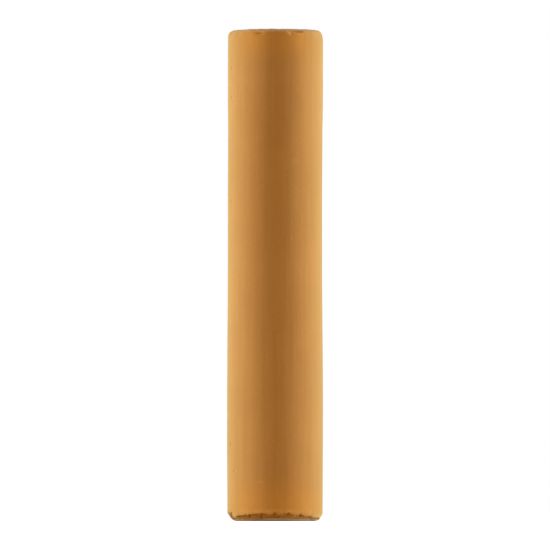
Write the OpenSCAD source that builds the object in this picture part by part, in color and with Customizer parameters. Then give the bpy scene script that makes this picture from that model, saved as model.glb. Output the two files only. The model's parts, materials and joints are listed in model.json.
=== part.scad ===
// Soft pastel stick: one extruded round of pressed ochre pigment, standing on its foot.
// Millimetres. The base lies on Z = 0, the front faces -Y and +X is to the right.

/* [Stick] */
// Overall length, from the base to the upper end
stick_len = 65.5; // [62:0.5:80]
// Diameter at both ends, just inside the rims
stick_d = 12.7; // [9:0.01:16]

/* [Barrel] */
// How much fuller than the ends the belly is, across the diameter
belly_swell = 0.1; // [0:0.01:0.5]
// Height at which the belly reaches its full diameter
belly_z = 10.5; // [8:0.5:14]
// Length of the belly at its full diameter
belly_len = 5; // [1:0.5:8]
// How much slimmer than the ends the waist is, across the diameter
waist_slim = 0.11; // [0.02:0.01:0.5]
// Height of the lower end of the straight waist
waist_z = 35; // [28:0.5:38]
// Length of the straight waist, where a holder grips the stick
waist_len = 16; // [6:0.5:17]
// Length over which the barrel opens out above the waist
shoulder_len = 5.5; // [2:0.5:6]

/* [Upper end] */
// Radius of the rounded rim at the upper end
top_rim_r = 0.8; // [0.3:0.05:1.5]
// Radius of the round hollow of each nick that handling left in the upper rim
nick_r = 0.6; // [0.4:0.01:0.8]
// How deep each nick goes in from the skin of the rim
nick_depth = 0.15; // [0.05:0.01:0.4]

/* [Foot] */
// Radius of the rounded rim at the foot
foot_rim_r = 1.25; // [0.8:0.05:1.8]
// Height of the highest point of the line where the skin of the rim has crumbled
crumble_z = 0.84; // [0.6:0.01:1.2]
// How far to the left of the front that point lies, as an angle
crumble_turn = 5; // [0:1:10]
// How far the line leans down from that point towards the back, in degrees
crumble_lean = 8.5; // [0:0.5:11]
// Number of crumbs lost along the line
crumb_count = 21; // [5:2:23]
// Spacing of the lost crumbs round the rim
crumb_gap = 0.6; // [0.4:0.05:0.7]
// Radius of a large crumb, which is every third one
crumb_big_r = 0.34; // [0.15:0.01:0.45]
// Radius of the small crumbs between the large ones
crumb_small_r = 0.24; // [0.1:0.01:0.35]
// How far the crumbs stray above and below the line
crumb_stray = 0.08; // [0:0.01:0.2]
// Share of a crumb's radius by which its middle lies outside the skin
crumb_out = 0.35; // [0:0.05:0.5]
// Side on which the rim lost a chip, as an angle round the foot
chip_turn = 188; // [180:1:210]
// How far in from the wall the chip starts on the base
chip_depth = 0.95; // [0.6:0.05:2]
// How high the chip climbs the wall
chip_rise = 1.3; // [0.9:0.05:2]

/* [Hidden] */

$fn = 96;
FRONT = 270;
// Turn from one crumb's stray to the next, which never repeats
STRAY_TURN = 137.5;
arc_steps = 12;
ease_steps = 10;
end_r = stick_d / 2;
belly_r = (stick_d + belly_swell) / 2;
waist_r = (stick_d - waist_slim) / 2;
waist_top_z = waist_z + waist_len;
// Places of the two nicks, as angles round the upper rim
nick_turns = [FRONT - 21, FRONT + 20];

// Smooth step from 0 to 1
function ease(t) = (1 - cos(180 * t)) / 2;

// Points of a smooth change of radius between two heights, without the first one
function flare(r0, z0, r1, z1) =
    [for (i = [1:ease_steps]) let (t = i / ease_steps) [r0 + (r1 - r0) * ease(t), z0 + (z1 - z0) * t]];

// Points of a quarter round about a centre, counted anticlockwise from an angle
function quarter(r, centre, from) =
    [for (i = [0:arc_steps]) centre + r * [cos(from + 90 * i / arc_steps), sin(from + 90 * i / arc_steps)]];

// Half section of the stick: base, foot rim, belly, waist, shoulder and upper rim
function half_section() = concat(
    [[0, 0]],
    quarter(foot_rim_r, [end_r - foot_rim_r, foot_rim_r], -90),
    flare(end_r, foot_rim_r, belly_r, belly_z),
    [[belly_r, belly_z + belly_len]],
    flare(belly_r, belly_z + belly_len, waist_r, waist_z),
    [[waist_r, waist_top_z]],
    flare(waist_r, waist_top_z, end_r, waist_top_z + shoulder_len),
    quarter(top_rim_r, [end_r - top_rim_r, stick_len - top_rim_r], 0),
    [[0, stick_len]]
);

// Place of a point at a height on the rounded foot rim, moved straight out of the skin
function rim_place(z, out) =
    let (down = asin(max(0, 1 - z / foot_rim_r)))
    [end_r - foot_rim_r + (foot_rim_r + out) * cos(down), foot_rim_r - (foot_rim_r + out) * sin(down)];

// Height of a crumb that lies at an angle from the front, strayed by a part of the largest stray
function crumb_z(angle, part) =
    max(0, crumble_z - end_r * (1 - cos(angle + crumble_turn)) * tan(crumble_lean) + part * crumb_stray);

// Block whose upper face slopes up and out from a chord of the base to the wall
module chip_wedge() {
    rotate([0, 0, chip_turn])
        translate([end_r - chip_depth, 0, 0])
            rotate([0, -atan2(chip_rise, chip_depth), 0])
                translate([-end_r, -end_r, -end_r])
                    cube([3 * end_r, 2 * end_r, end_r]);
}

// Crumbs lost along the leaning line, each a round hollow in the skin of the rounded rim
module lost_crumbs() {
    middle = (crumb_count - 1) / 2;
    for (i = [-middle:middle]) {
        angle = i * crumb_gap / end_r * 180 / PI;
        crumb_r = i % 3 == 0 ? crumb_big_r : crumb_small_r;
        place = rim_place(crumb_z(angle, sin(i * STRAY_TURN)), crumb_r * crumb_out);
        rotate([0, 0, FRONT + angle])
            translate([place[0], 0, place[1]])
                sphere(crumb_r);
    }
}

// Nicks in the upper rim, each a round hollow in the skin of the rounded edge
module rim_nicks() {
    reach = (top_rim_r + nick_r - nick_depth) * cos(45);
    for (turn = nick_turns)
        rotate([0, 0, turn])
            translate([end_r - top_rim_r + reach, 0, stick_len - top_rim_r + reach])
                sphere(nick_r);
}

module pastel_stick() {
    color("#b97f3a")
        difference() {
            rotate_extrude()
                polygon(half_section());
            chip_wedge();
            lost_crumbs();
            rim_nicks();
        }
}

pastel_stick();
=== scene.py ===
"""Soft pastel stick: a worn round of pressed ochre pigment on a plain pale stage."""
import json
import math

import bmesh
import bpy
import numpy as np
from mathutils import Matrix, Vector
from mathutils.kdtree import KDTree


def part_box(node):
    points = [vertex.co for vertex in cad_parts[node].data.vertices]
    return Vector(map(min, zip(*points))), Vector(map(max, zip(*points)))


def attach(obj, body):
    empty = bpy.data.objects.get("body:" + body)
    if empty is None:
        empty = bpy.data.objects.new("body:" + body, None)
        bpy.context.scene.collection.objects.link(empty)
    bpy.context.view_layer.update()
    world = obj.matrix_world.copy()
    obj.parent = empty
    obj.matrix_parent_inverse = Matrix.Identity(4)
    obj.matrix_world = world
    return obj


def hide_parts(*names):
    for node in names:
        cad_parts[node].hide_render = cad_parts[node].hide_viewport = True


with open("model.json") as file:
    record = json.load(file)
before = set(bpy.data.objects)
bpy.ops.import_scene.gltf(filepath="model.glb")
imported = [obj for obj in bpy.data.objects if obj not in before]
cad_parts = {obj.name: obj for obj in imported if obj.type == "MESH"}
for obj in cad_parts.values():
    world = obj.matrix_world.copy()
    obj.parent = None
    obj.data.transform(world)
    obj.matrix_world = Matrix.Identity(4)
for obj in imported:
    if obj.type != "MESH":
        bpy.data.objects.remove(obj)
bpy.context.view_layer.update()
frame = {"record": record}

bl_info = {
    "name": "Soft pastel stick",
    "version": (1, 0, 0),
    "blender": (4, 5, 0),
    "location": "3D View > Sidebar > Pastel",
    "description": "Models a worn soft pastel stick, its pressed pigment and a plain stage",
    "category": "Object",
}

MM = 0.001
NODE = "pastel_stick"
LOW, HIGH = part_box(NODE)
GRIP = next(m for m in frame["record"]["mounts"] if m["name"] == "grip")
WAIST_R = GRIP["dims"]["r_mm"] * MM
# How much larger in radius the ends are than the waist
END_FLARE = 0.055 * MM

# Mesh spacing: rows on the end faces, on the rims and along the barrel, the length over which the rows
# spread out, and the divisions round the stick
FACE_STEP = 0.3 * MM
RIM_STEP = 0.1 * MM
BARREL_STEP = 0.6 * MM
FADE_LEN = 8 * MM
DIVISIONS = 256
MERGE_GAP = 0.0002 * MM

# Where the mesh is finer: the foot's worn front and chip, the front of the upper rim, and round each pit.
# Turns are in radians from the front.
FOOT_FINE_Z = 1.7 * MM
FOOT_FINE_TURNS = (-2.05, 1.25)
UPPER_FINE_LEN = 1.8 * MM
UPPER_FINE_TURN = 0.7
PIT_FINE_R = 0.7 * MM
# How far in from the ends' radius the worn rims reach, in radii of the foot rim
RIM_REACH = 1.5

# Depth of a lost crumb at the front, as a share of its radius, and how much less it is for each radian away
BIG_CRUMB_SHARE, BIG_CRUMB_LOSS = 0.58, 0.36
SMALL_CRUMB_SHARE, SMALL_CRUMB_LOSS = 0.33, 0.15
# Turn from one crumb's stray to the next, which never repeats
STRAY_TURN = math.radians(137.5)

# Dents of the upper rim: degrees from the front, degrees up its round, radius and depth in millimetres.
# They make a long shallow scrape on the left, and a nick with a scrape on the right.
UPPER_DENTS = (
    (-23, 30, 0.5, 0.05),
    (-19, 30, 0.5, 0.05),
    (18, 35, 0.42, 0.07),
    (25, 40, 0.5, 0.05),
    (31, 40, 0.5, 0.05),
)

# Pits that coarse grains left in the barrel: degrees from the front, height and radius in millimetres
WALL_PITS = (
    (-67, 60.4, 0.24),
    (-67, 56.4, 0.32),
    (-67, 10.3, 0.32),
    (-58, 6.6, 0.26),
    (-67, 42.7, 0.22),
    (82, 58.0, 0.3),
    (81, 58.8, 0.26),
    (128, 21.5, 0.34),
    (171, 47.2, 0.3),
    (-142, 33.8, 0.34),
    (-117, 15.1, 0.28),
    (154, 8.2, 0.32),
)
# Depth of a pit as a share of its radius
PIT_SHARE = 0.3

# Unevenness of the skin: depth from its highest to its lowest points, and the size of its grain
EDGE_ROUGH = (0.11 * MM, 0.22 * MM)
RIM_ROUGH = (0.1 * MM, 0.9 * MM)
WALL_ROUGH = (0.05 * MM, 9 * MM)
FACE_ROUGH = (0.05 * MM, 1.2 * MM)

# How far the broken band reaches above the line of the crumbs, and how far its upper and lower edges
# wander, in millimetres
BAND_REACH = 0.19
UPPER_WANDER = 0.04
LOWER_WANDER = 0.02

# Soft oval marks on the front: millimetres across, up, half width and half height, and strength.
# Heights of those on the upper rim are counted from the upper end.
# Painted shade along the edge of the chip at the foot's left corner.
CHIP_EDGE_SHADE = (
    (-5.8, 1.1, 0.16, 0.2, 0.8),
    (-5.8, 0.72, 0.16, 0.42, 1),
    (-5.45, 0.36, 0.36, 0.18, 1),
)
EDGE_BREAKS = (
    (1.33, 1, 0.2, 0.2, 0.6),
    (3.47, 0.69, 0.7, 0.22, 0.4),
    (4.64, 0.47, 0.4, 0.12, 0.5),
    (5.7, 0.38, 0.24, 0.17, 0.9),
)
UPPER_SCRAPES = (
    (-2.3, -0.62, 0.7, 0.16, 0.25),
    (3.1, -0.36, 0.95, 0.26, 0.38),
)
# Painted highlight on the lit face of the nick in the upper rim.
NICK_HIGHLIGHT = (
    (1.95, -0.4, 0.34, 0.6, 1.6),
)
BARREL_FLECKS = (
    (-1.9, 5.13, 0.85, 0.1, 0.25),
    (-0.53, 48.8, 0.25, 0.3, 0.25),
    (2.6, 47.75, 0.8, 0.35, 0.2),
)

# Widths of the pigment's patterns in millimetres. Real grit and grains are finer than a tenth of a
# millimetre, and are drawn coarse enough to show.
MOTTLE_MM = 8
STREAK_MM = 0.6
GRIT_MM = 0.25
CRUMB_MM = 0.35
GRAIN_GAP_MM = 1.6
# Finish of the skin, with streaks along the stick, and of the bare pigment, with cutting marks across it
POWDERY = {"bloom": 0.92, "tooth": 0.02 * MM, "drag": (1, 1, 0.035)}
BARE = {"bloom": 0.12, "tooth": 0.06 * MM, "drag": (2.5, 0.12, 2.5)}
# Mean strength of the wear round a face from which the face shows bare pigment
BARE_FROM = 0.35

# The photograph is square, with the stick across its middle and its ends at these heights
PHOTO_PX = 550
TOP_PX = 28.45
FOOT_PX = 521.15
# Gap that keeps the floor clear of the base
FLOOR_GAP = 0.02 * MM


def linear(hex_colour):
    """An sRGB hex colour as linear red, green and blue."""
    channels = [int(hex_colour[i:i + 2], 16) / 255 for i in (1, 3, 5)]
    return tuple(c / 12.92 if c <= 0.04045 else ((c + 0.055) / 1.055) ** 2.4 for c in channels)


def size(name, description, default):
    """A length that a user may change, in metres."""
    return bpy.props.FloatProperty(name=name, description=description, default=default, unit="LENGTH")


def turn(name, description, degrees):
    """An angle that a user may change."""
    return bpy.props.FloatProperty(
        name=name, description=description, default=math.radians(degrees), subtype="ANGLE")


def colour(name, description, hex_colour):
    """A colour that a user may change."""
    return bpy.props.FloatVectorProperty(
        name=name, description=description, default=linear(hex_colour), subtype="COLOR", min=0, max=1)


class PastelSizes(bpy.types.PropertyGroup):
    """Sizes of the stick and of its wear."""

    length: size("Length", "From the base to the upper end", HIGH.z - LOW.z)
    end_r: size("End radius", "Radius of the barrel at both ends", WAIST_R + END_FLARE)
    belly_r: size("Belly radius", "Radius of the belly", (HIGH.y - LOW.y) / 2)
    belly_z: size("Belly height", "Height at which the belly is full", 10.5 * MM)
    belly_len: size("Belly length", "Length of the full belly", 5 * MM)
    waist_r: size("Waist radius", "Radius of the straight waist", WAIST_R)
    waist_len: size("Waist length", "Length of the straight waist", GRIP["dims"]["length_mm"] * MM)
    waist_mid: size("Waist height", "Height of the middle of the waist", GRIP["pos_m"][2])
    shoulder_len: size("Shoulder length", "Length of the flare above the waist", 5.5 * MM)
    bow: size("Bow", "How far the upper end leans to the right", 0.07 * MM)
    top_rim_r: size("Upper rim", "Radius of the rounded upper rim", 0.8 * MM)
    worn_back: size("Worn corner", "How far the upper right corner is worn back", 0.12 * MM)
    foot_rim_r: size("Foot rim", "Radius of the rounded foot rim", 1.25 * MM)
    square_out: size("Square corner", "How far the lower right corner stands out", 0.22 * MM)
    crumble_z: size("Crumbled line", "Height of the highest point of the crumbled line", 0.84 * MM)
    crumble_turn: turn("Line turn", "How far to the left of the front that point lies", 5)
    crumble_lean: turn("Line lean", "How far the crumbled line leans down towards the back", 8.5)
    crumble_deep: size("Crumbled depth", "How deep the rim is hollowed along the line", 0.09 * MM)
    rubbed_z: size("Rubbed rim", "Height of the rubbed underside of the rim, below the crumbs", 0.46 * MM)
    crumb_count: bpy.props.IntProperty(
        name="Crumbs", description="Number of crumbs lost along the line", default=21, min=1)
    crumb_gap: size("Crumb spacing", "Distance from one lost crumb to the next", 0.6 * MM)
    crumb_big_r: size("Large crumb", "Radius of every third lost crumb", 0.34 * MM)
    crumb_small_r: size("Small crumb", "Radius of the other lost crumbs", 0.24 * MM)
    crumb_stray: size("Crumb stray", "How far a crumb strays from the line", 0.08 * MM)
    chip_turn: turn("Chip side", "Side on which the foot rim lost a chip", 188)
    chip_depth: size("Chip depth", "How far in from the wall the chip starts", 0.95 * MM)
    chip_rise: size("Chip rise", "How high the chip climbs the wall", 1.3 * MM)


class PastelColours(bpy.types.PropertyGroup):
    """Colours of the pressed pigment, some of which also paint light and shade."""

    ochre: colour("Ochre", "Body colour of the pigment", "#BD7D34")
    deep: colour("Deep ochre", "Richer patches and streaks with less chalk in them", "#B17028")
    # The golden colour paints light: it makes the stick lighter towards both ends.
    golden: colour("Golden ochre", "Fresher pigment that handling bared near the ends", "#CC8422")
    # Chalk also paints the highlight on the lit face of the upper rim's nick.
    chalk: colour("Chalk", "Pale grains and scuffs", "#E0A95A")
    grain: colour("Dark grain", "Coarse pigment grains", "#8A521C")
    # The broken colour also paints shade: in the crumbled band, its crease and pits, the chip and the rubbed
    # underside.
    broken: colour("Broken pigment", "Dark, rich colour of broken edges and pits", "#60400F")
    # The rubbed dust also paints light on the rubbed underside of the foot rim, paler towards the base.
    rubbed: colour("Rubbed rim", "Greyish dust picked up where the foot rubbed", "#E2D0B4")
    powder: colour("Loose powder", "Bloom that pales the edges of the skin", "#EAF0AF")


class PastelStage(bpy.types.PropertyGroup):
    """Camera, lamps and floor."""

    camera_distance: size("Camera distance", "From the stick's axis to the camera", 1300 * MM)
    camera_height: size("Camera height", "Height of the camera above the floor", 2 * MM)
    lamp_distance: size("Lamp distance", "From the stick's axis to each softbox", 600 * MM)
    lamp_height: size("Lamp height", "Height of the middle of each softbox", 195 * MM)
    lamp_wide: size("Lamp width", "Width of each softbox", 200 * MM)
    lamp_tall: size("Lamp length", "Upright length of each softbox", 420 * MM)
    lamp_turn: turn("Lamp turn", "Angle between the camera and each softbox", 98.8)
    lamp_swing: turn("Lamp swing", "How far both softboxes are swung round to the right", 1.3)
    lamp_power: bpy.props.FloatProperty(
        name="Lamp power", description="Power of each softbox", default=3.8, unit="POWER")
    ambient: colour("Room light", "Colour and level of the light from all round", "#AE9B8A")
    floor: colour("Floor", "Colour of the floor", "#F0F0F0")
    floor_size: size("Floor size", "Length of each side of the floor", 8000 * MM)


def spaced(start, stop, step):
    """Values from start to stop, both included, at most a step apart."""
    count = max(1, math.ceil(abs(stop - start) / step))
    return [start + (stop - start) * i / count for i in range(count + 1)]


def ease(t):
    """Smooth step from 0 to 1, held at both ends."""
    return (1 - math.cos(math.pi * min(max(t, 0), 1))) / 2


def wall_r(s, z):
    """Radius of the barrel at a height: foot, belly, waist, shoulder and upper end."""
    waist_z = s.waist_mid - s.waist_len / 2
    belly_top = s.belly_z + s.belly_len
    belly = ease((z - s.foot_rim_r) / (s.belly_z - s.foot_rim_r))
    waist = ease((z - belly_top) / (waist_z - belly_top))
    shoulder = ease((z - waist_z - s.waist_len) / s.shoulder_len)
    return (s.end_r + (s.belly_r - s.end_r) * belly + (s.waist_r - s.belly_r) * waist
            + (s.end_r - s.waist_r) * shoulder)


def wall_heights(s):
    """Heights of the barrel's rows, close together near the rims and wider apart between them."""
    low, high = s.foot_rim_r, s.length - s.top_rim_r
    heights = []
    z = low + RIM_STEP
    while z < high - RIM_STEP / 2:
        heights.append(z)
        z += RIM_STEP + (BARREL_STEP - RIM_STEP) * ease(min(z - low, high - z) / FADE_LEN)
    return heights


def quarter(centre, radius, start):
    """Points of a quarter round about a centre, from an angle in degrees."""
    angles = spaced(math.radians(start), math.radians(start + 90), RIM_STEP / radius)
    return [(centre[0] + radius * math.cos(a), centre[1] + radius * math.sin(a)) for a in angles]


def half_section(s):
    """Outline from the middle of the base, up the wall, to the middle of the upper end."""
    foot_in = s.end_r - s.foot_rim_r
    top_in = s.end_r - s.top_rim_r
    return ([(r, 0) for r in spaced(0, foot_in, FACE_STEP)][:-1]
            + quarter((foot_in, s.foot_rim_r), s.foot_rim_r, -90)
            + [(wall_r(s, z), z) for z in wall_heights(s)]
            + quarter((top_in, s.length - s.top_rim_r), s.top_rim_r, 0)
            + [(r, s.length) for r in spaced(top_in, 0, FACE_STEP)][1:])


def turn_barrel(s):
    """Draws the half section as a chain of edges and spins it round the axis."""
    bpy.ops.object.select_all(action="DESELECT")
    bpy.ops.mesh.primitive_plane_add(size=MM)
    stick = bpy.context.object
    bpy.ops.object.mode_set(mode="EDIT")
    bpy.ops.mesh.select_all(action="SELECT")
    bpy.ops.mesh.merge(type="CENTER")
    points = half_section(s)
    for (r0, z0), (r1, z1) in zip(points, points[1:]):
        bpy.ops.mesh.extrude_vertices_move(TRANSFORM_OT_translate={"value": (r1 - r0, 0, z1 - z0)})
    bpy.ops.mesh.select_all(action="SELECT")
    bpy.ops.mesh.spin(steps=DIVISIONS, angle=2 * math.pi, center=(0, 0, 0), axis=(0, 0, 1))
    bpy.ops.mesh.select_all(action="SELECT")
    bpy.ops.mesh.remove_doubles(threshold=MERGE_GAP)
    bpy.ops.mesh.normals_make_consistent(inside=False)
    bpy.ops.object.mode_set(mode="OBJECT")
    return stick


def from_front(p):
    """Angle of a point round the axis, counted from the front of the stick."""
    return math.atan2(p.x, -p.y)


def outward(angle):
    """Level direction out of the stick at an angle from its front."""
    return Vector((math.sin(angle), -math.cos(angle), 0))


def worn_from_r(s):
    """Radius from which the end faces belong to the worn rims."""
    return s.end_r - RIM_REACH * s.foot_rim_r


def edit_faces(stick, wanted):
    """Goes into edit mode with the wanted faces selected."""
    bpy.ops.object.mode_set(mode="EDIT")
    bpy.ops.mesh.select_mode(type="FACE")
    bpy.ops.mesh.select_all(action="DESELECT")
    mesh = bmesh.from_edit_mesh(stick.data)
    for face in mesh.faces:
        face.select = bool(wanted(face))
    bmesh.update_edit_mesh(stick.data)


def refine(stick, cuts, wanted):
    """Subdivides the faces whose middle is wanted."""
    edit_faces(stick, lambda face: wanted(face.calc_center_median()))
    bpy.ops.mesh.subdivide(number_cuts=cuts)
    bpy.ops.mesh.select_mode(type="VERT")
    bpy.ops.object.mode_set(mode="OBJECT")


def refine_worn_places(stick, s):
    """Gives the worn front of the foot, the front of the upper rim and each pit a finer mesh."""
    inner = worn_from_r(s)
    left, right = FOOT_FINE_TURNS
    upper_z = s.length - UPPER_FINE_LEN
    pits = [place for place, _, _ in wall_dents(s)]
    refine(stick, 2, lambda p: p.z < FOOT_FINE_Z and left < from_front(p) < right and p.xy.length > inner)
    refine(stick, 1, lambda p: (
        p.z > upper_z and abs(from_front(p)) < UPPER_FINE_TURN and p.xy.length > inner))
    refine(stick, 3, lambda p: any((p - pit).length < PIT_FINE_R for pit in pits))


def apply_modifier(stick, modifier):
    """Applies a modifier to the stick's mesh."""
    bpy.ops.object.select_all(action="DESELECT")
    stick.select_set(True)
    bpy.context.view_layer.objects.active = stick
    bpy.ops.object.modifier_apply(modifier=modifier.name)


def places(stick):
    """Places of all vertices, as one array."""
    co = np.empty(len(stick.data.vertices) * 3)
    stick.data.vertices.foreach_get("co", co)
    return co.reshape(-1, 3)


def cut_chip(stick, s):
    """Presses the foot rim flat where it lost a chip, inside a block that the chip's plane bounds.

    Returns how deep the chip went at each vertex, in millimetres.
    """
    out = Vector((math.cos(s.chip_turn), math.sin(s.chip_turn), 0))
    inward = (Vector((0, 0, s.chip_depth)) - out * s.chip_rise).normalized()
    point = out * (s.end_r - s.chip_depth)
    chipped = (np.array(point) - places(stick)) @ np.array(inward) / MM
    half = s.length * 2
    bpy.ops.mesh.primitive_cube_add(
        size=2 * half, location=point + inward * half, rotation=inward.to_track_quat("Z", "Y").to_euler())
    block = bpy.context.object
    shrink = stick.modifiers.new("chip", "SHRINKWRAP")
    shrink.target = block
    shrink.wrap_method = "NEAREST_SURFACEPOINT"
    shrink.wrap_mode = "INSIDE"
    apply_modifier(stick, shrink)
    bpy.data.objects.remove(block)
    return chipped


def crumble_line(s, angle):
    """Height of the leaning line along which the rim crumbled, at an angle from the front."""
    return s.crumble_z - s.end_r * (1 - np.cos(angle + s.crumble_turn)) * math.tan(s.crumble_lean)


def lost_crumbs(s):
    """Angle, height and radius of each crumb lost along the line, and whether it is a large one."""
    middle = s.crumb_count // 2
    for i in range(-middle, middle + 1):
        angle = i * s.crumb_gap / s.end_r
        z = max(0, crumble_line(s, angle) + math.sin(i * STRAY_TURN) * s.crumb_stray)
        large = i % 3 == 0
        yield angle, z, s.crumb_big_r if large else s.crumb_small_r, large


def rim_point(s, angle, z):
    """Point of the rounded foot rim at an angle from the front and a height, and the way out of it."""
    down = math.asin(min(max(1 - z / s.foot_rim_r, 0), 1))
    out = outward(angle)
    reach = s.end_r - s.foot_rim_r + s.foot_rim_r * math.cos(down)
    return out * reach + Vector((0, 0, z)), out * math.cos(down) - Vector((0, 0, math.sin(down)))


def foot_dents(s):
    """Dents of the lost crumbs: the large ones are deep pits and the small ones shallow."""
    for angle, z, radius, large in lost_crumbs(s):
        place, out = rim_point(s, angle, z)
        if large:
            share = BIG_CRUMB_SHARE - BIG_CRUMB_LOSS * abs(angle)
        else:
            share = SMALL_CRUMB_SHARE - SMALL_CRUMB_LOSS * abs(angle)
        yield place, -out * radius * share, radius


def upper_dents(s):
    """Dents of the upper rim, each pressed straight into its round."""
    for degrees, up, radius, depth in UPPER_DENTS:
        out = outward(math.radians(degrees))
        slope = math.radians(up)
        normal = out * math.cos(slope) + Vector((0, 0, math.sin(slope)))
        centre = out * (s.end_r - s.top_rim_r) + Vector((0, 0, s.length - s.top_rim_r))
        yield centre + normal * s.top_rim_r, -normal * depth * MM, radius * MM


def wall_dents(s):
    """Dents of the pits in the barrel's sides."""
    for degrees, z, radius in WALL_PITS:
        out = outward(math.radians(degrees))
        place = out * wall_r(s, z * MM) + Vector((0, 0, z * MM))
        yield place, -out * radius * PIT_SHARE * MM, radius * MM


def press_dents(stick, dents):
    """Pushes the nearest vertex of each dent inwards, with its neighbours following in a round hollow."""
    bpy.ops.object.mode_set(mode="EDIT")
    mesh = bmesh.from_edit_mesh(stick.data)
    mesh.verts.ensure_lookup_table()
    tree = KDTree(len(mesh.verts))
    for vertex in mesh.verts:
        tree.insert(vertex.co, vertex.index)
    tree.balance()
    for place, push, radius in dents:
        bpy.ops.mesh.select_all(action="DESELECT")
        mesh.verts[tree.find(place)[1]].select = True
        bpy.ops.transform.translate(
            value=push, use_proportional_edit=True, proportional_edit_falloff="SPHERE",
            proportional_size=radius)
    bpy.ops.object.mode_set(mode="OBJECT")


def rise(low, high, values):
    """Smooth step of an array from 0 at low to 1 at high."""
    t = np.clip((values - low) / (high - low), 0, 1)
    return t * t * (3 - 2 * t)


def fall(low, high, values):
    """Smooth step of an array from 1 at low to 0 at high."""
    return 1 - rise(low, high, values)


def blots(across, up, marks):
    """How much each place belongs to soft oval marks, which are full in the middle and fade outwards."""
    amount = np.zeros(len(up))
    for x, z, width, height, strength in marks:
        away = np.hypot((across - x) / width, (up - z) / height)
        amount = np.maximum(amount, strength * fall(0.4, 1, away))
    return amount


class Skin:
    """Where each vertex lies on the dented stick, as arrays.

    Lengths are in millimetres, angles are in radians from the front, and zones run from 0 to 1. Heights in
    below are counted from the upper end, so they are negative.
    """

    def __init__(self, stick, s):
        self.points = places(stick) / MM
        self.across, self.back, self.up = self.points.T
        self.length = s.length / MM
        self.below = self.up - self.length
        self.end_r = s.end_r / MM
        self.out = np.hypot(self.across, self.back)
        self.angle = np.arctan2(self.across, -self.back)
        self.arc = self.angle * self.end_r
        self.facing = self.back < 0
        # Zones: the left and right of the front, all that is worn round, and the rim at each end
        self.left = fall(-2.2, -0.8, self.arc)
        self.right = rise(1.8, 3.2, self.arc)
        self.rim = rise(worn_from_r(s) / MM, (s.end_r - s.foot_rim_r) / MM, self.out)
        self.foot_rim = self.rim * fall(0.9, 1.8, self.up)
        self.upper_rim = self.rim * rise(-1.6, -0.6, self.below)
        # Uneven run of every worn line, made of three waves round the stick that never fall into step
        self.ragged = (0.6 * np.sin(2.1 * self.arc + 0.4) + 0.5 * np.sin(5.3 * self.arc + 1.7)
                       + 0.35 * np.sin(11.7 * self.arc))
        # Stretch of the foot rim that crumbled, and heights above the broken band's two ragged edges
        reach = s.crumb_gap * s.crumb_count / 2 / s.end_r
        self.crumbled = self.foot_rim * fall(0.95 * reach, 1.1 * reach, np.abs(self.angle))
        line = crumble_line(s, self.angle) / MM
        self.over_line = self.up - line - BAND_REACH - UPPER_WANDER * self.ragged
        self.over_rubbed = self.up - s.rubbed_z / MM - LOWER_WANDER * self.ragged


def broken_band(skin):
    """Band of the foot rim that broke open, from its rubbed underside up to the crumbled line."""
    return skin.crumbled * rise(-0.03, 0.04, skin.over_rubbed) * fall(-0.09, 0.05, skin.over_line)


def rubbed_lens(skin):
    """Rubbed underside of the foot rim, which shows from the front as a long pale lens."""
    return skin.foot_rim * fall(1.15, 1.35, np.abs(skin.angle)) * fall(-0.06, 0.02, skin.over_rubbed)


def displace(stick, name, weights, depth, grain=None, direction="NORMAL"):
    """Moves the weighted vertices by a depth, or up to half of it either way by a noise of a grain size."""
    least = 0.005
    group = stick.vertex_groups.new(name=name)
    for index in np.flatnonzero(weights > least):
        group.add([int(index)], float(weights[index]), "REPLACE")
    modifier = stick.modifiers.new(name, "DISPLACE")
    modifier.vertex_group = name
    modifier.direction = direction
    modifier.strength = depth
    modifier.mid_level = 0.5 if grain else 0
    if grain:
        modifier.texture = bpy.data.textures.new(name, "CLOUDS")
        modifier.texture.noise_scale = grain
        modifier.texture.noise_depth = 2
        modifier.texture_coords = "LOCAL"
    apply_modifier(stick, modifier)
    stick.vertex_groups.remove(stick.vertex_groups[name])


def wear_down(stick, s, skin):
    """Works the wear into the shape: crumbled groove and edge, corners, uneven skin and the bow."""
    band = broken_band(skin)
    groove = band * rise(0, 0.15, skin.up)
    edge = np.maximum(band, skin.crumbled * fall(0.05, 0.2, np.abs(skin.over_line)))
    edge = edge * (1 - 0.55 * rise(1.8, 3, np.abs(skin.arc)))
    right_side = rise(0.9, 1.2, skin.angle) * fall(1.9, 2.3, skin.angle)
    square = skin.foot_rim * right_side * rise(0, 0.08, skin.up) * fall(0.16, 0.38, skin.up)
    worn = skin.upper_rim * right_side * rise(-1.6, -0.4, skin.below) * fall(-0.25, 0, skin.below)
    rims = np.maximum(skin.foot_rim * rise(0.05, 0.3, skin.up), skin.upper_rim)
    wall = rise(0, 1.2, skin.up) * fall(-1.2, 0, skin.below)
    cut_face = rise(-0.1, -0.02, skin.below)
    bow = rise(0.6 * skin.length, 0.95 * skin.length, skin.up)
    displace(stick, "crumbled_groove", groove, -s.crumble_deep)
    displace(stick, "crumbled_edge", edge, *EDGE_ROUGH)
    displace(stick, "square_corner", square, s.square_out, direction="X")
    displace(stick, "worn_corner", worn, -s.worn_back, direction="X")
    displace(stick, "worn_rim", rims, *RIM_ROUGH)
    displace(stick, "pressed_wall", wall, *WALL_ROUGH)
    displace(stick, "cut_face", cut_face, *FACE_ROUGH)
    displace(stick, "bow", bow, s.bow, direction="X")


def band_shade(skin):
    """Dark of the crumbled band: the richer colour of broken pigment with painted shade under its crumbled
    edge, stronger on the left, and painted shade in the crease along its lower edge.
    """
    band = 0.32 + 0.16 * skin.left - 0.13 * skin.right
    middle = fall(0.8, 1.8, np.abs(skin.arc + 0.4))
    crease = skin.crumbled * rise(-0.05, 0.02, skin.over_rubbed) * fall(0.05, 0.12, skin.over_rubbed)
    crease = crease * (0.4 + 0.4 * np.maximum(skin.left, middle))
    return np.maximum(broken_band(skin) * band, crease)


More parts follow.
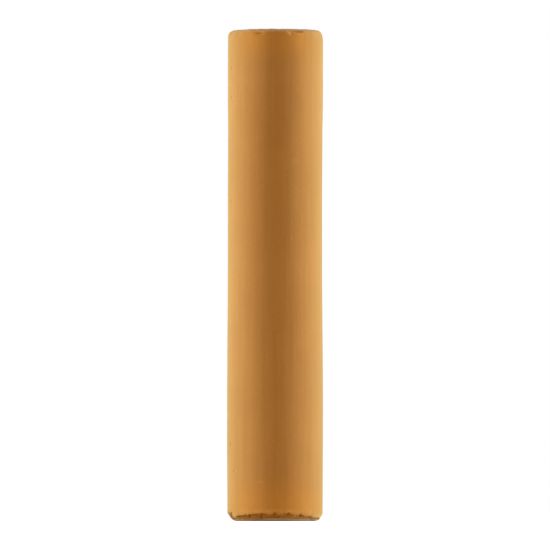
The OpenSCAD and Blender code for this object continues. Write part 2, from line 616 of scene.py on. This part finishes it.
def crumb_shade(skin, s):
    """Painted shade in the lost crumbs' pits, with broken pigment's darker colour: strongest in large ones
    at the front, then in small ones on the left.
    """
    shade = np.zeros(len(skin.up))
    for angle, z, radius, large in lost_crumbs(s):
        outer = rise(0.3, 0.55, abs(angle))
        if large:
            strength, spread, lift = 0.66 - 0.36 * outer, 1.2, 0.04 * MM
        elif angle < -0.2:
            strength, spread, lift = 0.38, 1, 0
        else:
            strength, spread, lift = 0.32 - 0.16 * outer, 1, 0
        place, _ = rim_point(s, angle, z + lift)
        away = np.linalg.norm(skin.points - np.array(place) / MM, axis=1) * MM / radius
        shade = np.maximum(shade, strength * fall(0.5, spread, away))
    return shade


def chip_shade(skin, chip_face):
    """Painted shade on the chip's face, with broken pigment's darker colour: ragged and strongest low down
    towards the front.
    """
    low_front = fall(0.8, 1.25, skin.up) * fall(-1, 0.8, skin.back)
    return chip_face * (0.3 + 0.4 * low_front + 0.08 * skin.ragged)


def end_side_shade(skin):
    """Painted shade that darkens the sides of the foot and of the upper end."""
    turned = np.abs(skin.angle)
    foot = rise(0.7, 1, turned) * fall(1, 4.5, skin.up)
    upper = rise(0.4, 0.7, turned) * rise(-5, -1.5, skin.below)
    return skin.rim * np.maximum(0.13 * foot, 0.09 * upper)


def lens_shade(skin, lens):
    """Painted shade on the rubbed underside: at both sides, under the crease above it and at its right end.
    """
    sides = 0.18 * np.maximum(skin.left, skin.right)
    under_crease = (0.35 + 0.12 * skin.left) * rise(0.15, 0.4, skin.up)
    right_end = 0.3 * rise(5.4, 6.6, skin.arc)
    return lens * (sides + under_crease + right_end)


def pale_marks(skin):
    """Pale marks: dust above the crumbled line, a painted highlight on the lit face of the upper rim's nick,
    and chalky flecks on the barrel.
    """
    dust = skin.crumbled * rise(0.12, 0.35, skin.over_line) * fall(0.5, 1.3, skin.over_line)
    dust = 0.7 * dust * (1 - 0.8 * rise(1.5, 3.5, np.abs(skin.arc)))
    upper_edge = rise(skin.end_r - 0.9, skin.end_r - 0.6, skin.out)
    nick = upper_edge * blots(skin.across, skin.below, NICK_HIGHLIGHT)
    barrel = blots(skin.across, skin.up, BARREL_FLECKS)
    return np.maximum(dust, skin.facing * np.maximum(nick, barrel))


def golden_ends(skin):
    """Painted light: a lighter, golden colour towards both ends, with less of it on the sides."""
    sides = 0.85 * skin.rim * rise(0.5, 0.9, np.abs(np.sin(skin.angle)))
    foot = 0.85 * fall(2, 7.5, skin.up) * (1 - sides * rise(2, 5, skin.up))
    upper = rise(-5, -1.5, skin.below) * (1 - sides)
    return np.maximum(foot, upper)


def colour_marks(skin, s, chipped):
    """How much each vertex shows of broken pigment and painted shade, of rubbed dust and painted light, of
    pale marks and a painted highlight, of golden painted light at the ends, and of bare pigment.
    """
    lens = rubbed_lens(skin)
    # Dust on the rubbed underside, with painted light that pales it towards the base.
    lens_dust_and_light = lens * (1 - 0.5 * skin.left) * (1 - 0.75 * rise(0.1, 0.4, skin.up))
    rim_dust = 0.1 * skin.foot_rim * (1 - skin.crumbled)
    upper_face = rise(-0.1, 0, skin.below + 0.3 - 0.06 * skin.ragged)
    face_dust = upper_face * (0.28 + 0.22 * rise(1, skin.end_r - 0.6, skin.out))
    base = skin.up < 0.02
    chip_face = skin.foot_rim * rise(0.005, 0.02, chipped)
    scrapes = skin.facing * blots(skin.across, skin.below, UPPER_SCRAPES)
    # Dark marks along the foot's edge, and painted shade along the chip's edge.
    edge_marks_and_shade = skin.facing * blots(skin.across, skin.up, CHIP_EDGE_SHADE + EDGE_BREAKS)
    broken = np.max([band_shade(skin), crumb_shade(skin, s), chip_shade(skin, chip_face), edge_marks_and_shade,
                     end_side_shade(skin), lens_shade(skin, lens)], axis=0)
    return {
        # The upper end face is drawn a little darker too.
        "broken": np.max([broken, scrapes, 0.2 * upper_face], axis=0),
        "rubbed": np.max([lens_dust_and_light, rim_dust, face_dust], axis=0),
        "pale": pale_marks(skin),
        "ends": golden_ends(skin),
        "bare": np.max([1.4 * broken, 3 * scrapes, lens, chip_face, upper_face, base], axis=0),
    }


def add_node(tree, kind, inputs=None, settings=None, output=0):
    """Adds a node with its settings, gives each input a value or a link, and returns one output."""
    node = tree.nodes.new(kind)
    for name, value in (settings or {}).items():
        setattr(node, name, value)
    for name, value in (inputs or {}).items():
        if isinstance(value, bpy.types.NodeSocket):
            tree.links.new(value, node.inputs[name])
        else:
            node.inputs[name].default_value = value
    return node.outputs[output] if node.outputs else None


def per_mm(width):
    """Scale of a texture on object coordinates whose features are this many millimetres wide."""
    return 1 / (width * MM)


def pressed_pigment(name, c, bloom, tooth, drag):
    """Pressed ochre pigment: chalk, pigment and a little gum, extruded damp and dried.

    It is dead matt. A bloom of loose powder on its skin pales it towards its edges, and the bare pigment
    below the skin has hardly any. It has soft patches, faint streaks, pale grit and dark grains, and a
    darker, richer colour where it has broken. A golden colour towards both ends paints light, the broken
    colour also paints shade in its crease, pits and chip, the rubbed dust paints light under the foot rim,
    and the chalk paints a highlight in the upper rim's nick. The tooth is the depth of its grain, and the
    drag scales the streaks' coordinates, so they are drawn out along the axis with the smallest scale.
    """
    material = bpy.data.materials.new(name)
    material.use_nodes = True
    tree = material.node_tree
    tree.nodes.clear()
    soft = {"interpolation_type": "SMOOTHSTEP"}
    here = add_node(tree, "ShaderNodeTexCoord", output="Object")
    drawn = add_node(tree, "ShaderNodeMapping", {"Vector": here, "Scale": drag})
    mottle = add_node(tree, "ShaderNodeTexNoise", {"Vector": here, "Scale": per_mm(MOTTLE_MM), "Detail": 3})
    streak = add_node(tree, "ShaderNodeTexNoise", {"Vector": drawn, "Scale": per_mm(STREAK_MM), "Detail": 3})
    grit = add_node(tree, "ShaderNodeTexNoise", {"Vector": here, "Scale": per_mm(GRIT_MM), "Detail": 2})
    crumb = add_node(tree, "ShaderNodeTexNoise", {"Vector": here, "Scale": per_mm(CRUMB_MM), "Detail": 3})
    grain = add_node(tree, "ShaderNodeTexVoronoi", {"Vector": here, "Scale": per_mm(GRAIN_GAP_MM)})

    # Each layer of colour: its pattern, the pattern's range, the share of colour at the two ends of that
    # range, the mark that limits it, and the colour
    layers = (
        (mottle, (0.38, 0.66), (0, 0.4), None, c.deep),
        (streak, (0.38, 0.7), (0, 0.5), None, c.deep),
        (grit, (0.5, 0.8), (0, 0.16), None, c.chalk),
        # Painted light: lighter and golden towards both ends.
        (mottle, (0.3, 0.6), (0.5, 0.9), "ends", c.golden),
        (grain, (0.05, 0.1), (0.14, 0), None, c.grain),
        # Rubbed dust, which also paints light under the foot rim.
        (crumb, (0.3, 0.6), (0.5, 0.95), "rubbed", c.rubbed),
        # Pale marks, which also paint the highlight in the upper rim's nick.
        (crumb, (0.35, 0.65), (0.5, 0.9), "pale", c.chalk),
        # Broken pigment, which also paints shade in crevices, pits and the chip.
        (crumb, (0.25, 0.6), (0.65, 1), "broken", c.broken),
    )
    body = (*c.ochre, 1)
    for pattern, (low, high), (first, last), mark, layer_colour in layers:
        share = add_node(tree, "ShaderNodeMapRange", {
            "Value": pattern, "From Min": low, "From Max": high, "To Min": first, "To Max": last}, soft)
        if mark:
            worn = add_node(tree, "ShaderNodeAttribute", settings={"attribute_name": mark}, output="Fac")
            share = add_node(tree, "ShaderNodeMath", {0: worn, 1: share}, {"operation": "MULTIPLY"})
        # A colour mix has its factor at input 0, its two colours at 6 and 7, and its result at output 2
        body = add_node(tree, "ShaderNodeMix", {0: share, 6: body, 7: (*layer_colour, 1)},
                        {"data_type": "RGBA"}, 2)

    height = add_node(tree, "ShaderNodeMath", {0: grit, 1: 0.5, 2: streak}, {"operation": "MULTIPLY_ADD"})
    bump = add_node(tree, "ShaderNodeBump", {"Height": height, "Distance": tooth})
    rough = add_node(tree, "ShaderNodeMapRange", {
        "Value": grit, "From Min": 0.3, "From Max": 0.7, "To Min": 0.86, "To Max": 0.95})
    # Chalk and pigment bend light about as glass does, but their dust hides nearly all gloss
    shader = add_node(tree, "ShaderNodeBsdfPrincipled", {
        "Base Color": body,
        "Roughness": rough,
        "IOR": 1.5,
        "Specular IOR Level": 0.1,
        "Sheen Weight": bloom,
        "Sheen Roughness": 0.6,
        "Sheen Tint": (*c.powder, 1),
        "Normal": bump,
    })
    add_node(tree, "ShaderNodeOutputMaterial", {"Surface": shader})
    return material


def finish_skin(stick, marks, colours):
    """Stores the marks of wear, painted light and painted shade for the materials, and gives worn faces bare
    pigment and the rest powder.
    """
    for name in ("broken", "rubbed", "pale", "ends"):
        attribute = stick.data.attributes.new(name, "FLOAT", "POINT")
        attribute.data.foreach_set("value", marks[name].astype(np.float32))
    bpy.ops.object.shade_smooth()
    stick.data.materials.clear()
    stick.data.materials.append(pressed_pigment("powdery_ochre_pigment", colours, **POWDERY))
    stick.data.materials.append(pressed_pigment("bare_ochre_pigment", colours, **BARE))
    bare = marks["bare"]
    edit_faces(stick, lambda face: sum(bare[v.index] for v in face.verts) > BARE_FROM * len(face.verts))
    stick.active_material_index = 1
    bpy.ops.object.material_slot_assign()
    bpy.ops.object.mode_set(mode="OBJECT")


class PASTEL_OT_stick(bpy.types.Operator):
    """Models the pastel stick with its worn rims and pressed pigment"""

    bl_idname = "pastel.stick"
    bl_label = "Pastel Stick"

    def execute(self, context):
        s = context.scene.pastel_sizes
        stick = turn_barrel(s)
        stick.name = "pastel_stick_dressed"
        stick.data.name = stick.name
        refine_worn_places(stick, s)
        chipped = cut_chip(stick, s)
        press_dents(stick, [*foot_dents(s), *upper_dents(s), *wall_dents(s)])
        skin = Skin(stick, s)
        wear_down(stick, s, skin)
        finish_skin(stick, colour_marks(skin, s, chipped), context.scene.pastel_colours)
        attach(stick, "root")
        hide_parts(NODE)
        return {"FINISHED"}


def background_rays(tree):
    """1 on the rays that see the background: the camera's, and those that gloss or glass sends on."""
    seen = add_node(tree, "ShaderNodeLightPath", output="Is Camera Ray")
    for ray in ("Is Glossy Ray", "Is Transmission Ray"):
        other = add_node(tree, "ShaderNodeLightPath", output=ray)
        seen = add_node(tree, "ShaderNodeMath", {0: seen, 1: other}, {"operation": "MAXIMUM"})
    return seen


def white_paper(stage):
    """Matt white paper: plain diffuse, so it keeps the shadow, and paler where it is seen as background."""
    material = bpy.data.materials.new("matt_white_paper")
    material.use_nodes = True
    tree = material.node_tree
    tree.nodes.clear()
    seen = background_rays(tree)
    paper = add_node(tree, "ShaderNodeBsdfDiffuse", {"Color": (*stage.floor, 1)})
    to_white = [1 - f * a for f, a in zip(stage.floor, stage.ambient)]
    glow = add_node(tree, "ShaderNodeEmission", {"Color": (*to_white, 1), "Strength": seen})
    both = add_node(tree, "ShaderNodeAddShader", {0: paper, 1: glow})
    add_node(tree, "ShaderNodeOutputMaterial", {"Surface": both})
    return material


def room_light(stage):
    """White where the camera looks past the stick, and a dim even light on everything else."""
    world = bpy.data.worlds.new("room")
    world.use_nodes = True
    tree = world.node_tree
    tree.nodes.clear()
    seen = background_rays(tree)
    dim = add_node(tree, "ShaderNodeBackground", {"Color": (*stage.ambient, 1)})
    white = add_node(tree, "ShaderNodeBackground", {"Color": (1, 1, 1, 1)})
    both = add_node(tree, "ShaderNodeMixShader", {0: seen, 1: dim, 2: white})
    add_node(tree, "ShaderNodeOutputWorld", {"Surface": both})
    return world


def aim(thing, target):
    """Turns a camera or lamp so that it looks at a point."""
    thing.rotation_euler = (target - thing.location).to_track_quat("-Z", "Y").to_euler()


def lay_floor(stage):
    """Lays a plain floor under the stick."""
    bpy.ops.object.select_all(action="DESELECT")
    bpy.ops.mesh.primitive_plane_add(size=stage.floor_size, location=(0, 0, -FLOOR_GAP))
    floor = bpy.context.object
    floor.name = "floor"
    floor.data.materials.append(white_paper(stage))


def hang_lamps(stage, target):
    """Hangs a tall softbox on each side of the stick, slightly behind it."""
    for name, side in (("softbox_left", -1), ("softbox_right", 1)):
        swing = stage.lamp_turn + side * stage.lamp_swing
        across = Vector((side * math.sin(swing), -math.cos(swing), 0))
        bpy.ops.object.light_add(
            type="AREA", location=across * stage.lamp_distance + Vector((0, 0, stage.lamp_height)))
        lamp = bpy.context.object
        lamp.name = name
        lamp.data.shape = "RECTANGLE"
        lamp.data.size = stage.lamp_wide
        lamp.data.size_y = stage.lamp_tall
        lamp.data.energy = stage.lamp_power
        lamp.visible_camera = False
        aim(lamp, target)


def set_camera(stage, s):
    """Sets up the camera low in front, so that the stick's ends lie where the photograph has them."""
    far, low = stage.camera_distance, stage.camera_height
    above = (s.length - low) * far / (far - s.end_r + s.top_rim_r)
    under = low * far / (far - s.end_r + s.foot_rim_r)
    px_per_m = (FOOT_PX - TOP_PX) / (above + under)
    bpy.ops.object.camera_add(location=(0, -far, low))
    camera = bpy.context.object
    camera.data.lens = camera.data.sensor_width * far * px_per_m / PHOTO_PX
    aim(camera, Vector((0, 0, low + above - (PHOTO_PX / 2 - TOP_PX) / px_per_m)))
    bpy.context.scene.camera = camera


class PASTEL_OT_stage(bpy.types.Operator):
    """Sets up the floor, the room light, two softboxes and the camera"""

    bl_idname = "pastel.stage"
    bl_label = "Stage"

    def execute(self, context):
        stage = context.scene.pastel_stage
        s = context.scene.pastel_sizes
        lay_floor(stage)
        context.scene.world = room_light(stage)
        context.scene.view_settings.view_transform = "Standard"
        hang_lamps(stage, Vector((0, 0, s.length / 2)))
        set_camera(stage, s)
        return {"FINISHED"}


class PASTEL_PT_panel(bpy.types.Panel):
    """Lists the stick, its stage and their settings"""

    bl_label = "Pastel Stick"
    bl_idname = "PASTEL_PT_panel"
    bl_space_type = "VIEW_3D"
    bl_region_type = "UI"
    bl_category = "Pastel"

    def draw(self, context):
        for operator, groups in (("pastel.stick", ("pastel_sizes", "pastel_colours")),
                                 ("pastel.stage", ("pastel_stage",))):
            self.layout.operator(operator)
            for group in groups:
                settings = getattr(context.scene, group)
                for name in settings.__annotations__:
                    self.layout.prop(settings, name)


GROUPS = {"pastel_sizes": PastelSizes, "pastel_colours": PastelColours, "pastel_stage": PastelStage}
CLASSES = (*GROUPS.values(), PASTEL_OT_stick, PASTEL_OT_stage, PASTEL_PT_panel)


def register():
    """Makes the classes known to Blender and hangs the settings on the scene."""
    for cls in CLASSES:
        bpy.utils.register_class(cls)
    for name, group in GROUPS.items():
        setattr(bpy.types.Scene, name, bpy.props.PointerProperty(type=group))


def unregister():
    """Takes the settings and the classes out again."""
    for name in GROUPS:
        delattr(bpy.types.Scene, name)
    for cls in reversed(CLASSES):
        bpy.utils.unregister_class(cls)


def main():
    """Models the stick and its stage."""
    register()
    bpy.ops.pastel.stick()
    bpy.ops.pastel.stage()


if __name__ == "__main__":
    main()
